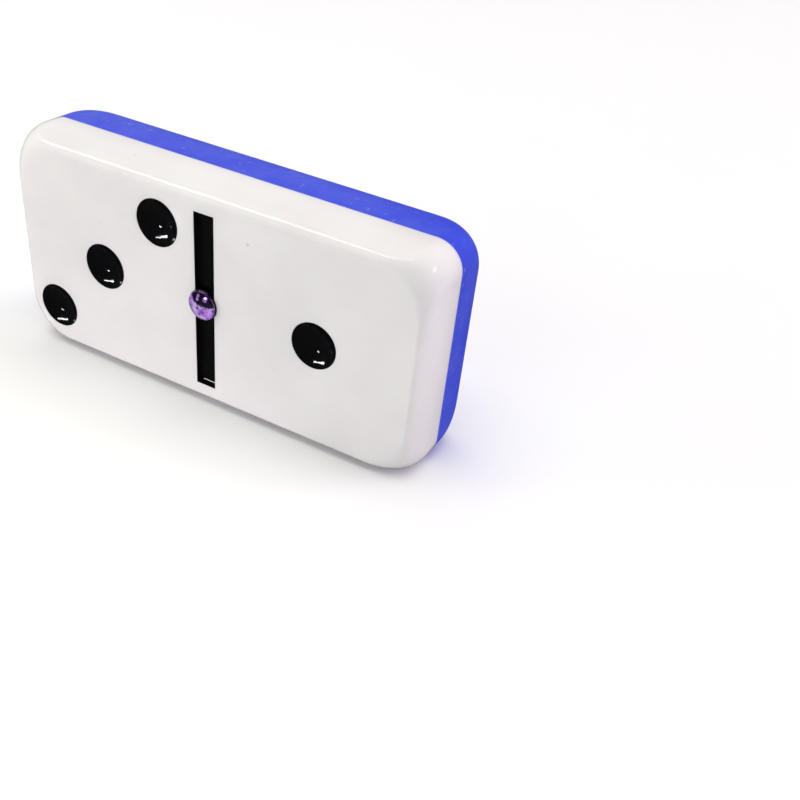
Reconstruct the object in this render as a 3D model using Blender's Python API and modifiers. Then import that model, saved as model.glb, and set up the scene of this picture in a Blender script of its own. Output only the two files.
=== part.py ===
"""Domino tile, three over one.

A white slab with the pips is bonded to a coloured back slab of the same outline. Black lacquer
lines each pip and the divider groove, and a domed pin, the spinner, is driven into the middle.

The tile stands on a long edge, as a player stands it to hide its pips. Metres. The origin is the
middle of that edge, +Z is up, +X runs along the tile from the three to the one, and the pip face
looks along -Y. Each piece is modelled on a tile that lies on its back with the pips up, and an
empty that they all hang from stands the tile up.
"""

import math

import bmesh
import bpy

# The whole tile
LENGTH = 0.0572
WIDTH = 0.0284
THICKNESS = 0.0126
FIT_GAP = 0.0003

# The two slabs. Tumbling has worn their corners rounder at the face and the back than at the seam.
BACK_THICKNESS = 0.00625
SEAM_CORNER_RADIUS = 0.0034
WORN_CORNER_RADIUS = 0.0064
BACK_EDGE_INSET = 0.0008
BACK_EDGE_HEIGHT = 0.0042
FACE_EDGE_INSET = 0.0016
FACE_EDGE_HEIGHT = 0.0046
CORNER_SEGMENTS = 9
EDGE_SEGMENTS = 7

# Pips: a short straight wall, then a spherical bowl
PIP_RADIUS = 0.0029
PIP_WALL = 0.0004
PIP_DEPTH = 0.0014
PIP_SPACING = 0.0083
HALF_CENTRE = 0.01485
BOWL_SEGMENTS = 5

# Divider groove and the lacquer in pips and groove
DIVIDER_LENGTH = 0.0227
DIVIDER_WIDTH = 0.0027
DIVIDER_DEPTH = 0.0010
LACQUER = 0.00025

# Spinner pin
HEAD_RADIUS = 0.0020
HEAD_RIM = 0.00015
HEAD_RISE = 0.0009
SHANK_RADIUS = 0.0009
SHANK_LENGTH = 0.0052
POINT_LENGTH = 0.0014
DOME_SEGMENTS = 6

TURNED_STEPS = 40
AXIS_MERGE = 1e-6
OVERSHOOT = 0.002
SHARP_ANGLE = math.radians(30)

# Pip places on the face, by a name for each
PIPS = {
    "pip_three_outer": (-HALF_CENTRE - PIP_SPACING, -PIP_SPACING),
    "pip_three_middle": (-HALF_CENTRE, 0.0),
    "pip_three_inner": (-HALF_CENTRE + PIP_SPACING, PIP_SPACING),
    "pip_one": (HALF_CENTRE, 0.0),
}


def clear_scene():
    for obj in list(bpy.data.objects):
        bpy.data.objects.remove(obj)


def new_collection(name):
    collection = bpy.data.collections.new(name)
    bpy.context.scene.collection.children.link(collection)
    return collection


def principled(name, colour, roughness, metallic=0.0):
    material = bpy.data.materials.new(name)
    material.use_nodes = True
    material.diffuse_color = (*colour, 1.0)
    shader = material.node_tree.nodes["Principled BSDF"]
    shader.inputs["Base Color"].default_value = (*colour, 1.0)
    shader.inputs["Roughness"].default_value = roughness
    shader.inputs["Metallic"].default_value = metallic
    return material


def standing_frame(collection):
    """The empty that stands the lying tile on its long edge, with its mid-thickness at y = 0."""
    frame = bpy.data.objects.new("tile_frame", None)
    collection.objects.link(frame)
    frame.rotation_euler.x = math.pi / 2
    frame.location = (0.0, THICKNESS / 2, WIDTH / 2)
    return frame


def add_object(name, mesh, collection, material=None):
    obj = bpy.data.objects.new(name, mesh)
    collection.objects.link(obj)
    obj.parent = bpy.data.objects["tile_frame"]
    if material:
        mesh.materials.append(material)
    return obj


def make_cutter(obj):
    obj.hide_render = True
    obj.display_type = "WIRE"
    return obj


def cut(obj, cutter):
    boolean = obj.modifiers.new("cut_" + cutter.name, "BOOLEAN")
    boolean.operation = "DIFFERENCE"
    boolean.solver = "EXACT"
    boolean.object = cutter


def smooth(mesh):
    mesh.shade_smooth()
    mesh.set_sharp_from_angle(angle=SHARP_ANGLE)


def outline(inset, radius):
    """The tile's outline moved in by inset, anticlockwise, with corners of the given radius."""
    middle_x = LENGTH / 2 - inset - radius
    middle_y = WIDTH / 2 - inset - radius
    points = []
    for quarter, (side_x, side_y) in enumerate(((1, 1), (-1, 1), (-1, -1), (1, -1))):
        for step in range(CORNER_SEGMENTS + 1):
            angle = math.pi / 2 * (quarter + step / CORNER_SEGMENTS)
            x = side_x * middle_x + radius * math.cos(angle)
            y = side_y * middle_y + radius * math.sin(angle)
            points.append((x, y))
    return points


def slab(name, seam, end, inset, height, collection, material):
    """A slab from the seam to the tile's face or back.

    Its sides are upright at the seam. Near the end they pull in along a quarter ellipse, inset by
    height, while the corners grow rounder.
    """
    sections = [(seam, 0.0)]
    for step in range(EDGE_SEGMENTS + 1):
        angle = math.pi / 2 * step / EDGE_SEGMENTS
        below_end = math.copysign(height, end - seam) * (1 - math.sin(angle))
        sections.append((end - below_end, 1 - math.cos(angle)))
    bm = bmesh.new()
    rings = []
    for level, worn in sections:
        radius = SEAM_CORNER_RADIUS + (WORN_CORNER_RADIUS - SEAM_CORNER_RADIUS) * worn
        rings.append([bm.verts.new((x, y, level)) for x, y in outline(inset * worn, radius)])
    for near, far in zip(rings, rings[1:]):
        for i in range(len(near)):
            bm.faces.new((near[i - 1], near[i], far[i], far[i - 1]))
    bm.faces.new(rings[0])
    bm.faces.new(rings[-1])
    bmesh.ops.recalc_face_normals(bm, faces=bm.faces)
    mesh = bpy.data.meshes.new(name)
    bm.to_mesh(mesh)
    bm.free()
    smooth(mesh)
    return add_object(name, mesh, collection, material)


def box(name, size, centre, collection, material=None):
    bm = bmesh.new()
    bmesh.ops.create_cube(bm, size=1.0)
    bmesh.ops.scale(bm, vec=size, verts=bm.verts)
    mesh = bpy.data.meshes.new(name)
    bm.to_mesh(mesh)
    bm.free()
    obj = add_object(name, mesh, collection, material)
    obj.location = centre
    return obj


def turned(name, profile, place, collection, material=None):
    """A solid turned about Z from (radius, height) points that run down its outer side."""
    mesh = bpy.data.meshes.new(name)
    steps = range(len(profile) - 1)
    mesh.from_pydata([(r, 0.0, z) for r, z in profile], [(i, i + 1) for i in steps], [])
    obj = add_object(name, mesh, collection, material)
    obj.location = place
    screw = obj.modifiers.new("turn", "SCREW")
    screw.axis = "Z"
    screw.steps = TURNED_STEPS
    screw.render_steps = TURNED_STEPS
    screw.use_merge_vertices = True
    screw.merge_threshold = AXIS_MERGE
    return obj


def cap(radius, height, segments):
    """Points of a shallow spherical cap, from its rim to its pole: (radius, height over the rim)."""
    sphere = (radius**2 + height**2) / (2 * height)
    half_angle = math.asin(radius / sphere)
    angles = [half_angle * (1 - i / segments) for i in range(segments + 1)]
    return [(sphere * math.sin(a), sphere * (math.cos(a) - math.cos(half_angle))) for a in angles]


def dish(grow):
    """The pip's recess from the rim down to the axis, with the wall and bowl moved out by grow."""
    radius = PIP_RADIUS + grow
    wall = PIP_WALL + grow
    bowl = cap(radius, PIP_DEPTH - PIP_WALL, BOWL_SEGMENTS)
    return [(r, -wall - h) for r, h in bowl]


def pip_inlay(name, centre, collection, material):
    """A thin dish of lacquer: its upper surface from the axis out, its rim, its under surface in."""
    inside = dish(-LACQUER)
    outside = dish(0.0)
    rim = [(inside[0][0], 0.0), (PIP_RADIUS, 0.0)]
    profile = inside[::-1] + rim + outside
    return turned(name, profile, (*centre, THICKNESS), collection, material)


def pip_cutter(name, centre, collection):
    above = [(0.0, OVERSHOOT), (PIP_RADIUS + FIT_GAP, OVERSHOOT)]
    profile = above + dish(FIT_GAP)
    return make_cutter(turned(name, profile, (*centre, THICKNESS), collection))


def groove_cutter(name, grow, collection):
    """The divider groove, with its walls and floor moved out by grow."""
    depth = DIVIDER_DEPTH + grow + OVERSHOOT
    size = (DIVIDER_WIDTH + 2 * grow, DIVIDER_LENGTH + 2 * grow, depth)
    centre = (0.0, 0.0, THICKNESS + OVERSHOOT - depth / 2)
    return make_cutter(box(name, size, centre, collection))


def divider_inlay(collection, material, cutters, pin_hole):
    """A tray of lacquer along the groove's floor and walls, open round the pin."""
    size = (DIVIDER_WIDTH, DIVIDER_LENGTH, DIVIDER_DEPTH)
    centre = (0.0, 0.0, THICKNESS - DIVIDER_DEPTH / 2)
    tray = box("divider_inlay", size, centre, collection, material)
    cut(tray, groove_cutter("tray_hollow", -LACQUER, cutters))
    cut(tray, pin_hole)
    return tray


def spinner_pin(collection, material):
    """A nail with a low domed head, whose underside lies level with the face."""
    dome = [(r, HEAD_RIM + h) for r, h in cap(HEAD_RADIUS, HEAD_RISE - HEAD_RIM, DOME_SEGMENTS)]
    shank = [
        (HEAD_RADIUS, 0.0),
        (SHANK_RADIUS, 0.0),
        (SHANK_RADIUS, POINT_LENGTH - SHANK_LENGTH),
        (0.0, -SHANK_LENGTH),
    ]
    profile = dome[::-1] + shank
    return turned("spinner_pin", profile, (0.0, 0.0, THICKNESS), collection, material)


def pin_cutter(collection):
    """The seat under the pin's head and the blind hole for its shank."""
    head = HEAD_RADIUS + FIT_GAP
    shank = SHANK_RADIUS + FIT_GAP
    profile = [
        (0.0, OVERSHOOT),
        (head, OVERSHOOT),
        (head, -FIT_GAP),
        (shank, -FIT_GAP),
        (shank, -SHANK_LENGTH - FIT_GAP),
        (0.0, -SHANK_LENGTH - FIT_GAP),
    ]
    return make_cutter(turned("pin_hole", profile, (0.0, 0.0, THICKNESS), collection))


def main():
    clear_scene()
    parts = new_collection("domino_tile")
    cutters = new_collection("cutters")
    standing_frame(parts)

    white = principled("white_resin", (0.86, 0.85, 0.83), 0.12)
    blue = principled("blue_resin", (0.055, 0.065, 0.62), 0.38)
    lacquer = principled("black_lacquer", (0.004, 0.004, 0.005), 0.08)
    metal = principled("violet_metal", (0.45, 0.30, 0.62), 0.10, metallic=1.0)

    slab(
        "back_layer", BACK_THICKNESS - FIT_GAP, 0.0, BACK_EDGE_INSET, BACK_EDGE_HEIGHT,
        parts, blue,
    )
    face = slab(
        "face_layer", BACK_THICKNESS, THICKNESS, FACE_EDGE_INSET, FACE_EDGE_HEIGHT,
        parts, white,
    )

    pin_hole = pin_cutter(cutters)
    cut(face, groove_cutter("divider_groove", FIT_GAP, cutters))
    cut(face, pin_hole)
    for name, centre in PIPS.items():
        cut(face, pip_cutter(name + "_recess", centre, cutters))
        pip_inlay(name, centre, parts, lacquer)

    divider_inlay(parts, lacquer, cutters, pin_hole)
    spinner_pin(parts, metal)


main()
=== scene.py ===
"""Looks of the domino tile: fine meshes, materials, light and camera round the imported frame.

Pieces are modelled on a tile that lies on its back, with x along it, y across it and height over
its back, in metres. stand_up() then turns them into the frame, where the tile stands on its edge.
"""

import math

import bmesh
import bpy
from mathutils import Matrix, Vector, noise


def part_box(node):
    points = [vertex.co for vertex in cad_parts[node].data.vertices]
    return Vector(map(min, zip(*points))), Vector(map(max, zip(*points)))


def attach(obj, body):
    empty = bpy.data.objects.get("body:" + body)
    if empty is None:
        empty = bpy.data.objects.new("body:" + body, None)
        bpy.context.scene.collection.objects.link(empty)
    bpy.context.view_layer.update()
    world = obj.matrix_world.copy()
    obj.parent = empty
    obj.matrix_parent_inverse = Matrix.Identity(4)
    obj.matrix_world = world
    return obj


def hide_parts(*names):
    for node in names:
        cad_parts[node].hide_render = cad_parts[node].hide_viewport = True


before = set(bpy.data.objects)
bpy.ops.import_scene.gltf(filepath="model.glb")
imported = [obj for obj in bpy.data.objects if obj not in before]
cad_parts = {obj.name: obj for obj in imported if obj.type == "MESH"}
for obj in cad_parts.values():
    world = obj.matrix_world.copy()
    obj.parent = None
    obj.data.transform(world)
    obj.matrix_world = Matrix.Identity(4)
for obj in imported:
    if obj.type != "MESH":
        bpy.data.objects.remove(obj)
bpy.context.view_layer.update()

MM = 0.001

# Sizes that the frame gives
FACE_LOW, FACE_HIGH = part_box("face_layer")
BACK_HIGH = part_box("back_layer")[1]
PIN_LOW, PIN_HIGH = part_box("spinner_pin")
DIVIDER_LOW, DIVIDER_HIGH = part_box("divider_inlay")
LENGTH = FACE_HIGH.x - FACE_LOW.x
WIDTH = FACE_HIGH.z - FACE_LOW.z
THICKNESS = BACK_HIGH.y - FACE_LOW.y
SEAM = BACK_HIGH.y - FACE_HIGH.y
MIDDLE_Z = (FACE_LOW.z + FACE_HIGH.z) / 2
TILE_MIDDLE = (0.0, 0.0, MIDDLE_Z)
HEAD_RISE = FACE_LOW.y - PIN_LOW.y
SHANK_LENGTH = PIN_HIGH.y - FACE_LOW.y
DIVIDER_HALF_WIDTH = (DIVIDER_HIGH.x - DIVIDER_LOW.x) / 2
DIVIDER_HALF_LENGTH = (DIVIDER_HIGH.z - DIVIDER_LOW.z) / 2
DIVIDER_DEPTH = DIVIDER_HIGH.y - FACE_LOW.y
PIP_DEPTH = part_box("pip_one")[1].y - FACE_LOW.y
PIP_NAMES = ("pip_three_outer", "pip_three_middle", "pip_three_inner", "pip_one")

# Slabs. FACE_EDGE and BACK_EDGE are the (inset, height) of the quarter ellipse that wear has left,
# and SEAM_EDGE is the radius of the rounding at the seam.
SEAM_CORNER_RADIUS = 3.4 * MM
WORN_CORNER_RADIUS = 6.4 * MM
CORNER_STEPS = 28
EDGE_STEPS = 26
FACE_EDGE = (1.6 * MM, 4.6 * MM)
BACK_EDGE = (0.8 * MM, 4.2 * MM)
SEAM_EDGE = 0.04 * MM
SEAM_STEPS = 5
LIP = 0.05 * MM
LIP_STEPS = 4
CONTACT = 0.005 * MM

# Pips. A dish tilt is (share of the way from the rim to the axis, degrees). The seed is the third
# coordinate of the noise, and no two pips have the same.
PIP_STEPS = 112
PIP_RINGS = 44
PIP_WALL = 0.4 * MM
PIP_SEED_STEP = 3.7
RECESS_STEPS = 8
LACQUER_DROP = 0.03 * MM
SAG_HEIGHT = 0.014 * MM
SAG_SCALE = 0.9
DROPLET_HEIGHT = 0.004 * MM
DROPLET_SCALE = 2.6
DROPLET_SHIFT = Vector((7.0, 3.0, 0.0))
RIM_CALM_POWER = 10
DISH_STEPS = 400
DISH_TILTS = ((0.0, 41), (0.17, 33.5), (0.33, 27), (0.57, 20), (1.0, 0))

# Divider, and the relief of its lacquer: streaks along it, lumps, ripples and the ridge at the pin.
# A scale is in cells for each millimetre, and a swing is the change that the noise makes.
GROOVE_COLUMNS = 30
GROOVE_ROWS = 220
GROOVE_FLOOR = 0.72 * MM
GROOVE_WALL_SLOPE = 7.0
GROOVE_MENISCUS = 0.22 * MM
GROOVE_END_SLOPE = 2.2
GROOVE_END_MENISCUS = 0.16 * MM
GROOVE_SEED = 21.0
STREAK_HEIGHT = 0.045 * MM
STREAK_SCALES = (1.9, 0.45)
STREAK_SEED = 5.0
LUMP_HEIGHT = 0.035 * MM
LUMP_SCALE = 1.1
RIPPLE_HEIGHT = 0.016 * MM
RIPPLE_SCALE = 3.2
RIDGE_HEIGHT = 0.19 * MM
RIDGE_WIDTH = 0.20 * MM
RIDGE_GAP = 0.35 * MM
RIDGE_SHARE = 0.6
RIDGE_SWING = 0.8
RIDGE_SCALE = 0.8
RIDGE_SHIFT = Vector((0.0, 0.0, 9.0))

# Spinner pin, driven in a little off the middle, and the bead of lacquer under its head. The
# drawn head is HEAD_SHARE as wide as its solid.
PIN_OFFSET = (-0.20 * MM, -0.08 * MM)
HEAD_SHARE = 0.96
HEAD_RADIUS = (PIN_HIGH.x - PIN_LOW.x) / 2 * HEAD_SHARE
HEAD_LIFT = 0.18 * MM
BEAD_RADIUS = 1.95 * MM
BEAD_WIDTH = 0.45 * MM
BEAD_SHOULDER = 0.06 * MM
SHANK_RADIUS = 0.9 * MM
HEAD_RIM = 0.20 * MM
HEAD_ROUND = 0.14 * MM
HEAD_ROUND_END = math.radians(150)
HEAD_CALM_POWER = 6
DENT_HEIGHT = 0.014 * MM
DENT_SCALE = 1.3
DENT_SEED = 40.0
DOME_RINGS = 30
ROUND_RINGS = 12
POINT_LENGTH = 1.4 * MM
PIN_STEPS = 96

RIGHT_ANGLE = math.radians(90)
RESIN_IOR = 1.5
FLOOR_HALF_SIDE = 3.0

# Colours of the materials
FACE_DIM = (0.83, 0.80, 0.79)
FACE_PALE = (0.86, 0.84, 0.82)
FACE_OVER_SEAM = (0.60, 0.60, 0.90)
FACE_SPECK = (0.35, 0.34, 0.34)
BACK_DEEP = (0.044, 0.070, 0.70)
BACK_PALE = (0.070, 0.106, 0.72)
BACK_RUBBED = (0.10, 0.13, 0.66)
BACK_NICK = (0.27, 0.33, 0.80)
LACQUER_BLACK = (0.0035, 0.0035, 0.004)
LACQUER_DUST = (0.03, 0.03, 0.032)
PIN_LIGHT = (0.60, 0.42, 0.82)
PIN_DEEP = (0.36, 0.15, 0.64)
# Dark violet painted into the pin's colour in blotches: painted dark reflections.
PIN_PAINTED_DARK_REFLECTION = (0.13, 0.045, 0.26)
FLOOR_DIM = (0.90, 0.90, 0.90)
FLOOR_PALE = (0.92, 0.92, 0.92)

# Colours of the surroundings: as light, in reflections, and for the camera
AMBIENT = (0.115, 0.09, 0.15)
REFLECTED = (0.03, 0.03, 0.033)
BACKDROP = (1.0, 1.0, 1.0)

# Places of a Mix node's colour sockets
MIX_FACTOR = 0
MIX_COLOURS = (6, 7)
MIX_RESULT = 2


# ---------------------------------------------------------------- mesh helpers


def pip_centre(name):
    low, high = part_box(name)
    return (low.x + high.x) / 2, (low.z + high.z) / 2 - MIDDLE_Z


def pip_radius(name):
    low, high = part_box(name)
    return (high.x - low.x) / 2


def smooth_min(a, b, blend):
    """The lower of two heights, with the crease between them rounded over the blend."""
    share = max(blend - abs(a - b), 0.0) / blend
    return min(a, b) - share * share * blend / 4


def outline(inset, worn=0.0):
    """The tile's outline moved inwards by inset, anticlockwise.

    The corners are tighter at the seam, where worn is 0, than at the face and back, where it is 1.
    """
    radius = SEAM_CORNER_RADIUS + (WORN_CORNER_RADIUS - SEAM_CORNER_RADIUS) * worn
    points = []
    for quarter, (side_x, side_y) in enumerate(((1, 1), (-1, 1), (-1, -1), (1, -1))):
        centre_x = side_x * (LENGTH / 2 - inset - radius)
        centre_y = side_y * (WIDTH / 2 - inset - radius)
        for step in range(CORNER_STEPS + 1):
            angle = RIGHT_ANGLE * (quarter + step / CORNER_STEPS)
            points.append((centre_x + radius * math.cos(angle), centre_y + radius * math.sin(angle)))
    return points


def circle(centre, radius, steps):
    angles = [math.tau * i / steps for i in range(steps)]
    return [(centre[0] + radius * math.cos(a), centre[1] + radius * math.sin(a)) for a in angles]


def rectangle(half_x, half_y):
    return [(half_x, -half_y), (half_x, half_y), (-half_x, half_y), (-half_x, -half_y)]


def worn_side(inset, height, end, direction):
    """Rings of a side that pulls in along a quarter ellipse: (outline, height), towards end."""
    rings = []
    for step in range(EDGE_STEPS + 1):
        angle = RIGHT_ANGLE * step / EDGE_STEPS
        worn = 1 - math.cos(angle)
        rings.append((outline(inset * worn, worn), end - direction * height * (1 - math.sin(angle))))
    return rings


def seam_side(end, direction):
    """Rings of the tiny rounding at the seam: (outline, height), away from end."""
    rings = []
    for step in range(SEAM_STEPS + 1):
        angle = RIGHT_ANGLE * step / SEAM_STEPS
        drop = SEAM_EDGE * (1 - math.cos(angle))
        rings.append((outline(SEAM_EDGE * (1 - math.sin(angle))), end - direction * drop))
    return rings


def add_ring(bm, points, height):
    return [bm.verts.new((x, y, height)) for x, y in points]


def join_rings(bm, lower, upper):
    count = len(lower)
    for i in range(count):
        j = (i + 1) % count
        bm.faces.new((lower[i], lower[j], upper[j], upper[i]))


def loft(bm, rings):
    for lower, upper in zip(rings, rings[1:]):
        join_rings(bm, lower, upper)


def close_fan(bm, ring, centre, height):
    """Closes a ring with triangles to its middle."""
    tip = bm.verts.new((centre[0], centre[1], height))
    for i in range(len(ring)):
        bm.faces.new((ring[i], ring[(i + 1) % len(ring)], tip))


def fill_between(bm, rings):
    """A flat face inside the first ring, with the other rings as holes."""
    edges = []
    for ring in rings:
        edges += [bm.edges.get((ring[i], ring[(i + 1) % len(ring)])) for i in range(len(ring))]
    bmesh.ops.triangle_fill(bm, use_beauty=True, edges=edges)


def stand_up(piece):
    """Turns a piece from the lying tile into the frame."""
    turn = Matrix.Rotation(RIGHT_ANGLE, 4, "X")
    piece.matrix_world = Matrix.Translation((0.0, BACK_HIGH.y, MIDDLE_Z)) @ turn


def finish_piece(name, bm, material, node, sharp=30.0):
    """The piece of a finished mesh, in the frame. Edges over sharp degrees stay sharp."""
    bmesh.ops.recalc_face_normals(bm, faces=bm.faces)
    mesh = bpy.data.meshes.new(name)
    bm.to_mesh(mesh)
    bm.free()
    mesh.shade_smooth()
    mesh.set_sharp_from_angle(angle=math.radians(sharp))
    mesh.materials.append(material)
    piece = bpy.data.objects.new(name, mesh)
    bpy.context.scene.collection.objects.link(piece)
    stand_up(piece)
    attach(piece, "root")
    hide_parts(node)
    return piece


# ---------------------------------------------------------------- pieces


def recess_profile(radius, grow):
    """The pip's recess under its lacquer, moved out by grow.

    Gives (radius, depth) from the wall's foot inwards, and the depth at the axis.
    """
    reach = radius + grow
    bowl = PIP_DEPTH - PIP_WALL
    sphere = (reach**2 + bowl**2) / (2 * bowl)
    points = []
    for step in range(RECESS_STEPS):
        r = reach * (1 - step / RECESS_STEPS)
        drop = math.sqrt(sphere**2 - r**2) - math.sqrt(sphere**2 - reach**2)
        points.append((r, PIP_WALL + grow + drop))
    return points, PIP_DEPTH + grow


def lip():
    """A tiny rounded lip at the rim of a recess: (outset, drop)."""
    angles = [RIGHT_ANGLE * i / LIP_STEPS for i in range(LIP_STEPS + 1)]
    return [(LIP * (1 - math.sin(a)), LIP * (1 - math.cos(a))) for a in angles]


def face_piece(material):
    """The white slab with its recesses, and the hole for the pin in the groove's floor."""
    bm = bmesh.new()
    side = seam_side(SEAM, -1) + worn_side(*FACE_EDGE, THICKNESS, 1)
    sides = [add_ring(bm, points, height) for points, height in side]
    loft(bm, sides)
    bm.faces.new(sides[0])
    rims = []
    for name in PIP_NAMES:
        centre, radius = pip_centre(name), pip_radius(name)
        rings = [
            add_ring(bm, circle(centre, radius + out, PIP_STEPS), THICKNESS - drop)
            for out, drop in lip()
        ]
        profile, floor = recess_profile(radius, CONTACT)
        rings += [add_ring(bm, circle(centre, r, PIP_STEPS), THICKNESS - d) for r, d in profile]
        loft(bm, rings)
        close_fan(bm, rings[-1], centre, THICKNESS - floor)
        rims.append(rings[0])
    groove = [
        add_ring(
            bm,
            rectangle(DIVIDER_HALF_WIDTH + out, DIVIDER_HALF_LENGTH + out),
            THICKNESS - drop,
        )
        for out, drop in lip()
    ]
    floor = THICKNESS - DIVIDER_DEPTH - CONTACT
    groove.append(add_ring(bm, rectangle(DIVIDER_HALF_WIDTH, DIVIDER_HALF_LENGTH), floor))
    loft(bm, groove)
    rims.append(groove[0])
    hole = circle(PIN_OFFSET, SHANK_RADIUS + CONTACT, PIN_STEPS)
    mouth = add_ring(bm, hole, floor)
    bottom = add_ring(bm, hole, THICKNESS - SHANK_LENGTH - CONTACT)
    loft(bm, [mouth, bottom])
    close_fan(bm, bottom, PIN_OFFSET, THICKNESS - SHANK_LENGTH - CONTACT)
    fill_between(bm, [groove[-1], mouth])
    fill_between(bm, [sides[-1]] + rims)
    return finish_piece("face_resin_layer", bm, material, "face_layer")


def back_piece(material):
    """The coloured slab under the seam."""
    bm = bmesh.new()
    side = seam_side(SEAM - CONTACT, 1) + worn_side(*BACK_EDGE, 0.0, -1)
    sides = [add_ring(bm, points, height) for points, height in side]
    loft(bm, sides)
    bm.faces.new(sides[0])
    bm.faces.new(sides[-1])
    return finish_piece("back_resin_layer", bm, material, "back_layer")


def relief(x, y, seed):
    """Height of the lacquer's unevenness: slow sags and smaller droplets."""
    place = Vector((x / MM, y / MM, seed))
    sags = noise.noise(place * SAG_SCALE)
    droplets = noise.noise(place * DROPLET_SCALE + DROPLET_SHIFT)
    return SAG_HEIGHT * sags + DROPLET_HEIGHT * droplets


def dish_profile():
    """Depth of the lacquer's surface, as a share of the radius, from the rim to the axis."""
    depths = [0.0]
    for step in range(DISH_STEPS):
        share = (step + 0.5) / DISH_STEPS
        for (near, steep), (far, shallow) in zip(DISH_TILTS, DISH_TILTS[1:]):
            if near <= share <= far:
                blend = (share - near) / (far - near)
                tilt = steep + (shallow - steep) * blend
        depths.append(depths[-1] + math.tan(math.radians(tilt)) / DISH_STEPS)
    return depths


def dish_depth(depths, radius, r):
    """Depth of the dish at a distance r from the axis, between the profile's points."""
    place = (1 - r / radius) * DISH_STEPS
    index = min(int(place), DISH_STEPS - 1)
    depth = depths[index] + (depths[index + 1] - depths[index]) * (place - index)
    return LACQUER_DROP + radius * depth


def pip_piece(name, material, seed):
    """A pip's dish of lacquer, whose underside fits the recess."""
    centre, radius = pip_centre(name), pip_radius(name)
    outer = radius - CONTACT
    dish = dish_profile()
    bm = bmesh.new()
    rings = []
    for step in range(PIP_RINGS, 0, -1):
        r = outer * math.sin(RIGHT_ANGLE * step / PIP_RINGS)
        calm = 1 - (r / outer) ** RIM_CALM_POWER
        ring = add_ring(bm, circle(centre, r, PIP_STEPS), THICKNESS - dish_depth(dish, outer, r))
        for v in ring:
            v.co.z += calm * relief(v.co.x - centre[0], v.co.y - centre[1], seed)
        rings.append(ring)
    loft(bm, rings)
    close_fan(bm, rings[-1], centre, THICKNESS - dish_depth(dish, outer, 0.0) + relief(0, 0, seed))
    profile, floor = recess_profile(radius, -CONTACT)
    under = [add_ring(bm, circle(centre, r, PIP_STEPS), THICKNESS - d) for r, d in profile]
    loft(bm, [rings[0]] + under)
    close_fan(bm, under[-1], centre, THICKNESS - floor)
    return finish_piece(name + "_lacquer", bm, material, name, sharp=40.0)


def groove_depth(x, y):
    """Depth of the divider's lacquer: its walls, menisci and lumpy floor.

    Above the pin the floor carries the ridge that the pin's head pushed up.
    """
    half_x = DIVIDER_HALF_WIDTH - CONTACT
    half_y = DIVIDER_HALF_LENGTH - CONTACT
    wall_x = LACQUER_DROP + (half_x - abs(x)) * GROOVE_WALL_SLOPE
    wall_y = LACQUER_DROP + (half_y - abs(y)) * GROOVE_END_SLOPE
    place = Vector((x / MM, y / MM, GROOVE_SEED))
    across, along = STREAK_SCALES
    streaks = noise.noise(Vector((place.x * across, place.y * along, STREAK_SEED)))
    lumps = noise.noise(place * LUMP_SCALE)
    ripples = noise.noise(place * RIPPLE_SCALE)
    floor = GROOVE_FLOOR - STREAK_HEIGHT * streaks - LUMP_HEIGHT * lumps - RIPPLE_HEIGHT * ripples
    reach = math.hypot(x, y)
    ridge = math.exp(-(((reach - HEAD_RADIUS - RIDGE_GAP) / RIDGE_WIDTH) ** 2))
    ridge *= max(0.0, y) / max(reach, MM)
    uneven = RIDGE_SHARE + RIDGE_SWING * noise.noise(place * RIDGE_SCALE + RIDGE_SHIFT)
    floor -= RIDGE_HEIGHT * ridge * uneven
    return smooth_min(smooth_min(floor, wall_x, GROOVE_MENISCUS), wall_y, GROOVE_END_MENISCUS)


def bead_section():
    """Section of the lacquer bead that the pin's head sits on: (radius, height over the face)."""
    inner = BEAD_RADIUS - BEAD_WIDTH
    shoulder = BEAD_RADIUS - BEAD_SHOULDER
    top = HEAD_LIFT - CONTACT
    return [
        (inner, CONTACT),
        (inner, top),
        (shoulder, top),
        (BEAD_RADIUS, top / 2),
        (BEAD_RADIUS, CONTACT),
    ]


def divider_piece(material):
    """The groove's lacquer as a grid over its walls and floor, and the bead under the head."""
    half_x = DIVIDER_HALF_WIDTH - CONTACT
    half_y = DIVIDER_HALF_LENGTH - CONTACT
    bm = bmesh.new()
    rows = []
    for row in range(GROOVE_ROWS + 1):
        y = half_y * math.sin(RIGHT_ANGLE * (2 * row / GROOVE_ROWS - 1))
        line = []
        for column in range(GROOVE_COLUMNS + 1):
            x = half_x * math.sin(RIGHT_ANGLE * (2 * column / GROOVE_COLUMNS - 1))
            line.append(bm.verts.new((x, y, THICKNESS - groove_depth(x, y))))
        rows.append(line)
    for near, far in zip(rows, rows[1:]):
        for i in range(GROOVE_COLUMNS):
            bm.faces.new((near[i], near[i + 1], far[i + 1], far[i]))
    right = [line[-1] for line in rows]
    left = [line[0] for line in rows]
    rim = rows[0][:-1] + right[:-1] + rows[-1][:0:-1] + left[:0:-1]
    floor = THICKNESS - DIVIDER_DEPTH
    under = [bm.verts.new((v.co.x, v.co.y, floor)) for v in rim]
    join_rings(bm, rim, under)
    bm.faces.new(under)
    bead = [
        add_ring(bm, circle(PIN_OFFSET, r, PIN_STEPS), THICKNESS + h)
        for r, h in bead_section()
    ]
    loft(bm, bead + bead[:1])
    return finish_piece("divider_lacquer", bm, material, "divider_inlay", sharp=40.0)


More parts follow.
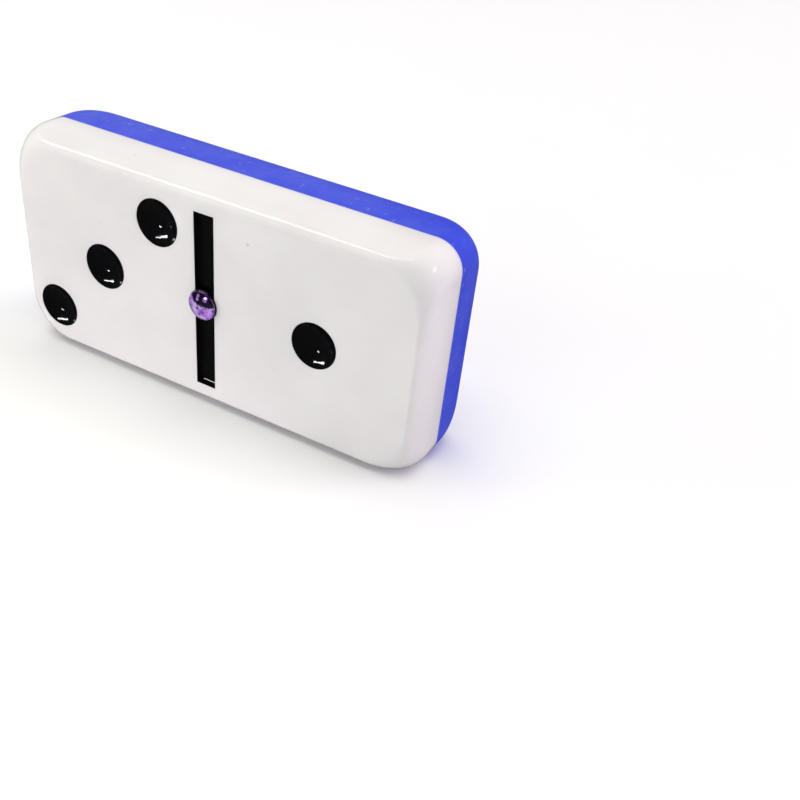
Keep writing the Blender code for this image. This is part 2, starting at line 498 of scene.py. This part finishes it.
def pin_profile():
    """The pin's outline from near its apex to the top of its point: (radius, height over the face)."""
    reach = HEAD_RADIUS - HEAD_ROUND
    rise = HEAD_RISE - HEAD_LIFT - HEAD_RIM
    sphere = (reach**2 + rise**2) / (2 * rise)
    tilt = math.asin(reach / sphere)
    base = HEAD_RISE - sphere
    points = []
    for step in range(1, DOME_RINGS + 1):
        angle = tilt * step / DOME_RINGS
        points.append((sphere * math.sin(angle), base + sphere * math.cos(angle)))
    start = points[-1]
    centre = (start[0] - HEAD_ROUND * math.sin(tilt), start[1] - HEAD_ROUND * math.cos(tilt))
    for step in range(1, ROUND_RINGS + 1):
        angle = tilt + (HEAD_ROUND_END - tilt) * step / ROUND_RINGS
        r = centre[0] + HEAD_ROUND * math.sin(angle)
        points.append((r, centre[1] + HEAD_ROUND * math.cos(angle)))
    points.append((SHANK_RADIUS, points[-1][1]))
    points.append((SHANK_RADIUS, POINT_LENGTH - SHANK_LENGTH))
    return points


def pin_piece(material):
    """The pin, turned about its axis, with faint dents in its head."""
    bm = bmesh.new()
    rings = []
    for r, height in pin_profile():
        ring = add_ring(bm, circle(PIN_OFFSET, r, PIN_STEPS), THICKNESS + height)
        calm = max(1 - (r / HEAD_RADIUS) ** HEAD_CALM_POWER, 0.0) if height > HEAD_LIFT else 0.0
        for v in ring:
            place = Vector((v.co.x / MM, v.co.y / MM, DENT_SEED))
            v.co.z += DENT_HEIGHT * noise.noise(place * DENT_SCALE) * calm
        rings.append(ring)
    loft(bm, rings)
    close_fan(bm, rings[0], PIN_OFFSET, THICKNESS + HEAD_RISE)
    close_fan(bm, rings[-1], PIN_OFFSET, THICKNESS - SHANK_LENGTH)
    return finish_piece("spinner_pin_metal", bm, material, "spinner_pin", sharp=50.0)


# ---------------------------------------------------------------- materials


def add_node(material, kind, inputs=None, **settings):
    """Adds a node. An input is a value, or another node's output to link."""
    tree = material.node_tree
    made = tree.nodes.new(kind)
    for key, value in settings.items():
        setattr(made, key, value)
    for key, value in (inputs or {}).items():
        if isinstance(value, bpy.types.NodeSocket):
            tree.links.new(value, made.inputs[key])
        else:
            made.inputs[key].default_value = value
    return made


def new_material(name, roughness, **values):
    """A material, its shader, and the place on the piece in millimetres."""
    material = bpy.data.materials.new(name)
    material.use_nodes = True
    shader = material.node_tree.nodes["Principled BSDF"]
    shader.inputs["Roughness"].default_value = roughness
    for key, value in values.items():
        shader.inputs[key.replace("_", " ")].default_value = value
    place = add_node(material, "ShaderNodeTexCoord").outputs["Object"]
    millimetres = add_node(
        material, "ShaderNodeVectorMath", {0: place, 1: (1 / MM, 1 / MM, 1 / MM)}, operation="MULTIPLY"
    )
    return material, shader, millimetres.outputs["Vector"]


def noise_map(material, place, scale, detail=3.0, rough=0.5, stretch=None):
    """Noise with scale cells for each millimetre. stretch scales each axis first."""
    if stretch:
        scaled = add_node(
            material, "ShaderNodeVectorMath", {0: place, 1: stretch}, operation="MULTIPLY"
        )
        place = scaled.outputs["Vector"]
    made = add_node(
        material,
        "ShaderNodeTexNoise",
        {"Vector": place, "Scale": scale, "Detail": detail, "Roughness": rough},
    )
    return made.outputs["Fac"]


def spread(material, value, low, high, out_low=0.0, out_high=1.0):
    """Maps low to high onto out_low to out_high, and holds the ends."""
    made = add_node(
        material,
        "ShaderNodeMapRange",
        {"Value": value, "From Min": low, "From Max": high, "To Min": out_low, "To Max": out_high},
        clamp=True,
    )
    return made.outputs["Result"]


def mix_colour(material, factor, a, b):
    """Colour a where the factor is 0 and b where it is 1. Each is a colour or an output."""
    made = add_node(material, "ShaderNodeMix", data_type="RGBA")
    tree = material.node_tree
    for index, value in zip(MIX_COLOURS, (a, b)):
        if isinstance(value, bpy.types.NodeSocket):
            tree.links.new(value, made.inputs[index])
        else:
            made.inputs[index].default_value = (*value, 1.0)
    tree.links.new(factor, made.inputs[MIX_FACTOR])
    return made.outputs[MIX_RESULT]


def height_of(material, place):
    split = add_node(material, "ShaderNodeSeparateXYZ", {"Vector": place})
    return split.outputs["Z"]


def set_bump(material, shader, height, distance, strength=1.0):
    bump = add_node(
        material,
        "ShaderNodeBump",
        {"Height": height, "Distance": distance, "Strength": strength},
    )
    material.node_tree.links.new(bump.outputs["Normal"], shader.inputs["Normal"])


def face_resin():
    """Polished white resin: faint clouds, a breath of blue over the seam, rare specks."""
    material, shader, place = new_material(
        "face_resin",
        0.14,
        IOR=RESIN_IOR,
        Subsurface_Weight=0.25,
        Subsurface_Radius=(1.0, 0.85, 0.75),
        Subsurface_Scale=1.2 * MM,
    )
    clouds = spread(material, noise_map(material, place, 0.12), 0.35, 0.65)
    colour = mix_colour(material, clouds, FACE_DIM, FACE_PALE)
    low, high = SEAM / MM, SEAM / MM + 0.5
    seam = spread(material, height_of(material, place), low, high, 0.55, 0.0)
    colour = mix_colour(material, seam, colour, FACE_OVER_SEAM)
    specks = spread(material, noise_map(material, place, 1.1, detail=0.0), 0.895, 0.91, 0.0, 0.3)
    colour = mix_colour(material, specks, colour, FACE_SPECK)
    material.node_tree.links.new(colour, shader.inputs["Base Color"])
    haze = spread(material, noise_map(material, place, 0.5, detail=5.0), 0.3, 0.7, 0.07, 0.14)
    material.node_tree.links.new(haze, shader.inputs["Roughness"])
    set_bump(material, shader, noise_map(material, place, 0.35, detail=1.0), 0.02 * MM, 0.5)
    return material


def back_resin():
    """Satin violet-blue resin with pale clouds, fine rubbed lines and small nicks."""
    material, shader, place = new_material(
        "back_resin",
        0.38,
        IOR=RESIN_IOR,
        Subsurface_Weight=0.08,
        Subsurface_Radius=(0.2, 0.2, 1.0),
        Subsurface_Scale=0.8 * MM,
    )
    clouds = spread(material, noise_map(material, place, 0.22, detail=6.0, rough=0.6), 0.35, 0.70)
    colour = mix_colour(material, clouds, BACK_DEEP, BACK_PALE)
    lines = noise_map(material, place, 1.0, detail=4.0, stretch=(0.25, 0.25, 3.0))
    rubbed = spread(material, lines, 0.56, 0.76, 0.0, 0.40)
    colour = mix_colour(material, rubbed, colour, BACK_RUBBED)
    spots = noise_map(material, place, 1.3, detail=5.0, rough=0.6)
    nicks = spread(material, spots, 0.635, 0.68, 0.0, 0.65)
    colour = mix_colour(material, nicks, colour, BACK_NICK)
    material.node_tree.links.new(colour, shader.inputs["Base Color"])
    haze = spread(material, noise_map(material, place, 0.8, detail=5.0), 0.3, 0.7, 0.32, 0.46)
    material.node_tree.links.new(haze, shader.inputs["Roughness"])
    set_bump(material, shader, noise_map(material, place, 2.5, detail=4.0), 0.03 * MM, 0.4)
    return material


def black_lacquer():
    """Glossy black lacquer, a little uneven in gloss and dusted in places."""
    material, shader, place = new_material("black_lacquer", 0.08, IOR=RESIN_IOR)
    dust = spread(material, noise_map(material, place, 6.0, detail=2.0), 0.66, 0.74, 0.0, 0.4)
    colour = mix_colour(material, dust, LACQUER_BLACK, LACQUER_DUST)
    material.node_tree.links.new(colour, shader.inputs["Base Color"])
    haze = spread(material, noise_map(material, place, 1.2, detail=4.0), 0.35, 0.7, 0.03, 0.09)
    material.node_tree.links.new(haze, shader.inputs["Roughness"])
    set_bump(material, shader, noise_map(material, place, 2.5, detail=2.0), 0.02 * MM, 0.25)
    return material


def pin_metal():
    """Polished violet-tinted metal with painted dark reflections in random blotches, and fine handling
    marks.
    """
    material, shader, place = new_material("pin_metal", 0.08, Metallic=1.0)
    tint = spread(material, noise_map(material, place, 0.9, detail=5.0), 0.40, 0.62)
    colour = mix_colour(material, tint, PIN_LIGHT, PIN_DEEP)
    # Dark blotches painted into the metal's colour at random stand in for dark reflections on the pin:
    # painted reflection.
    painted_dark_reflections = spread(material, noise_map(material, place, 1.7, detail=3.0), 0.50, 0.61, 0.0, 0.9)
    colour = mix_colour(material, painted_dark_reflections, colour, PIN_PAINTED_DARK_REFLECTION)
    material.node_tree.links.new(colour, shader.inputs["Base Color"])
    haze = spread(material, noise_map(material, place, 3.0, detail=5.0), 0.3, 0.75, 0.04, 0.14)
    material.node_tree.links.new(haze, shader.inputs["Roughness"])
    set_bump(material, shader, noise_map(material, place, 2.0, detail=4.0), 0.03 * MM, 0.5)
    return material


# ---------------------------------------------------------------- stage, light and camera


def floor_material():
    material, shader, place = new_material("pale_floor", 0.9)
    grain = noise_map(material, place, 0.05)
    colour = mix_colour(material, grain, FLOOR_DIM, FLOOR_PALE)
    material.node_tree.links.new(colour, shader.inputs["Base Color"])
    return material


def make_floor():
    bm = bmesh.new()
    bmesh.ops.create_grid(bm, x_segments=1, y_segments=1, size=FLOOR_HALF_SIDE)
    mesh = bpy.data.meshes.new("floor")
    bm.to_mesh(mesh)
    bm.free()
    mesh.materials.append(floor_material())
    floor = bpy.data.objects.new("floor", mesh)
    bpy.context.scene.collection.objects.link(floor)
    floor.visible_glossy = False


def area_light(
    name, place, size, power, colour=(1.0, 1.0, 1.0), aim=TILE_MIDDLE, along=(1.0, 0.0, 0.0), seen=False
):
    """A rectangular light of a power in watts that faces the point aim.

    Its first side runs along the direction along. A soft light brightens without showing in
    reflections, and a seen one shows in them without brightening.
    """
    place = Vector(place)
    along = Vector(along)
    back = (place - Vector(aim)).normalized()
    side = (along - back * back.dot(along)).normalized()
    data = bpy.data.lights.new(name, "AREA")
    data.shape = "RECTANGLE"
    data.size, data.size_y = size
    data.energy = power
    data.color = colour
    light = bpy.data.objects.new(name, data)
    turn = Matrix((side, back.cross(side), back)).transposed().to_4x4()
    light.matrix_world = Matrix.Translation(place) @ turn
    light.visible_camera = False
    light.visible_glossy = seen
    light.visible_diffuse = not seen
    bpy.context.scene.collection.objects.link(light)
    return light


def make_soft_lights():
    """Lights that brighten without showing: sky, walls, and the pale table close in front."""
    area_light("sky_above", (0.0, 0.1, 1.8), (2.4, 2.0), 39.3, colour=(0.985, 1.0, 0.895))
    area_light("softbox_front", (-0.3, -1.8, 0.8), (1.2, 0.9), 6.9, colour=(0.82, 0.96, 1.0))
    area_light("softbox_right", (1.5, 0.9, 0.6), (1.2, 1.0), 16.4, colour=(0.92, 0.82, 1.0))
    area_light("low_left", (-0.28, -0.14, 0.05), (0.20, 0.10), 0.46, colour=(1.0, 0.96, 0.90))
    glow_x, glow_y = -0.010, -0.011
    area_light(
        "table_glow",
        (glow_x, glow_y, 0.0006),
        (0.046, 0.008),
        0.0005,
        aim=(glow_x, glow_y, 1.0),
        colour=(0.98, 0.90, 1.0),
    )


def make_seen_lights():
    """Lights that only reflections show: a ceiling tube and a far window."""
    area_light("tube_above", (-0.20, -0.065, 0.52), (0.60, 0.022), 0.62, seen=True)
    area_light("window_behind", (-1.1, 1.1, 0.55), (1.2, 0.9), 1.2, seen=True)


def light_only(light, pieces):
    """Lets a light reach these pieces and nothing else."""
    receivers = bpy.data.collections.new(light.name + "_receivers")
    for piece in pieces:
        receivers.objects.link(piece)
    light.light_linking.receiver_collection = receivers


def light_pin(pin):
    """White cards close in front and lamps further off, which only the mirror-like pin shows."""
    card_y = -0.023
    card = area_light(
        "table_card", (0.0, card_y, 0.001), (0.4, 0.032), 0.035, aim=(0.0, card_y, 1.0), seen=True
    )
    strip = area_light(
        "side_card",
        (-0.088, -0.103, 0.026),
        (0.034, 0.050),
        0.0030,
        along=(0.7, -0.7, 0.0),
        seen=True,
    )
    lamp = area_light("lamp_front", (-0.10, -0.79, 0.22), (0.10, 0.07), 0.32, seen=True)
    glow = area_light("lamp_glow", (-0.12, -0.80, 0.13), (0.24, 0.30), 0.20, seen=True)
    for light in (card, strip, lamp, glow):
        light_only(light, [pin])


def light_corner(face):
    """A lamp on the right that shows as a spot on the face's rounded corner."""
    lamp = area_light("lamp_right", (0.47, 0.03, 0.42), (0.10, 0.10), 0.20, seen=True)
    light_only(lamp, [face])


def light_pips(pieces):
    """A slanting tube and a small lamp, placed where the pips' bowls show them."""
    tube = area_light(
        "slanting_tube",
        (-0.349, -0.417, 0.185),
        (0.40, 0.032),
        1.1,
        along=(0.302, -0.174, 0.175),
        seen=True,
    )
    lamp = area_light("low_lamp", (-0.25, -0.52, 0.030), (0.08, 0.020), 0.20, seen=True)
    for light in (tube, lamp):
        light_only(light, pieces)


def light_groove(piece):
    """A broad lamp that shows as a thin line in the groove's lower end."""
    lamp = area_light("groove_lamp", (-0.50, -0.70, 0.48), (0.45, 0.45), 20.0, seen=True)
    light_only(lamp, [piece])


def make_world():
    """White for the camera, faint violet light all round, and dim surroundings in reflections."""
    world = bpy.data.worlds.new("studio")
    world.use_nodes = True
    bpy.context.scene.world = world
    nodes, links = world.node_tree.nodes, world.node_tree.links
    ambient = nodes["Background"]
    ambient.inputs["Color"].default_value = (*AMBIENT, 1.0)
    reflected = nodes.new("ShaderNodeBackground")
    reflected.inputs["Color"].default_value = (*REFLECTED, 1.0)
    backdrop = nodes.new("ShaderNodeBackground")
    backdrop.inputs["Color"].default_value = (*BACKDROP, 1.0)
    path = nodes.new("ShaderNodeLightPath")
    glossy = nodes.new("ShaderNodeMixShader")
    links.new(path.outputs["Is Glossy Ray"], glossy.inputs["Fac"])
    links.new(ambient.outputs["Background"], glossy.inputs[1])
    links.new(reflected.outputs["Background"], glossy.inputs[2])
    seen = nodes.new("ShaderNodeMixShader")
    links.new(path.outputs["Is Camera Ray"], seen.inputs["Fac"])
    links.new(glossy.outputs["Shader"], seen.inputs[1])
    links.new(backdrop.outputs["Background"], seen.inputs[2])
    links.new(seen.outputs["Shader"], nodes["World Output"].inputs["Surface"])


def make_camera():
    """The camera looks down at the face from the end with the single pip."""
    azimuth, elevation, roll = math.radians(23.93), math.radians(34.98), math.radians(7.04)
    distance = 104.98 * MM
    aim = Vector((26.07 * MM, FACE_LOW.y, 11.62 * MM))
    back = Vector(
        (
            math.sin(azimuth) * math.cos(elevation),
            -math.cos(azimuth) * math.cos(elevation),
            math.sin(elevation),
        )
    )
    data = bpy.data.cameras.new("camera")
    data.sensor_width = 36.0
    data.lens = 43.55
    data.clip_start, data.clip_end = 0.005, 20.0
    camera = bpy.data.objects.new("camera", data)
    level = (-back).to_track_quat("-Z", "Y").to_matrix().to_4x4()
    rolled = level @ Matrix.Rotation(roll, 4, "Z")
    camera.matrix_world = Matrix.Translation(aim + back * distance) @ rolled
    bpy.context.scene.collection.objects.link(camera)
    bpy.context.scene.camera = camera


def main():
    make_camera()
    make_floor()
    make_soft_lights()
    make_seen_lights()
    make_world()
    bpy.context.scene.view_settings.view_transform = "Standard"
    light_corner(face_piece(face_resin()))
    back_piece(back_resin())
    lacquer = black_lacquer()
    pips = [pip_piece(name, lacquer, PIP_SEED_STEP * i) for i, name in enumerate(PIP_NAMES)]
    light_pips(pips)
    light_groove(divider_piece(lacquer))
    light_pin(pin_piece(pin_metal()))


main()
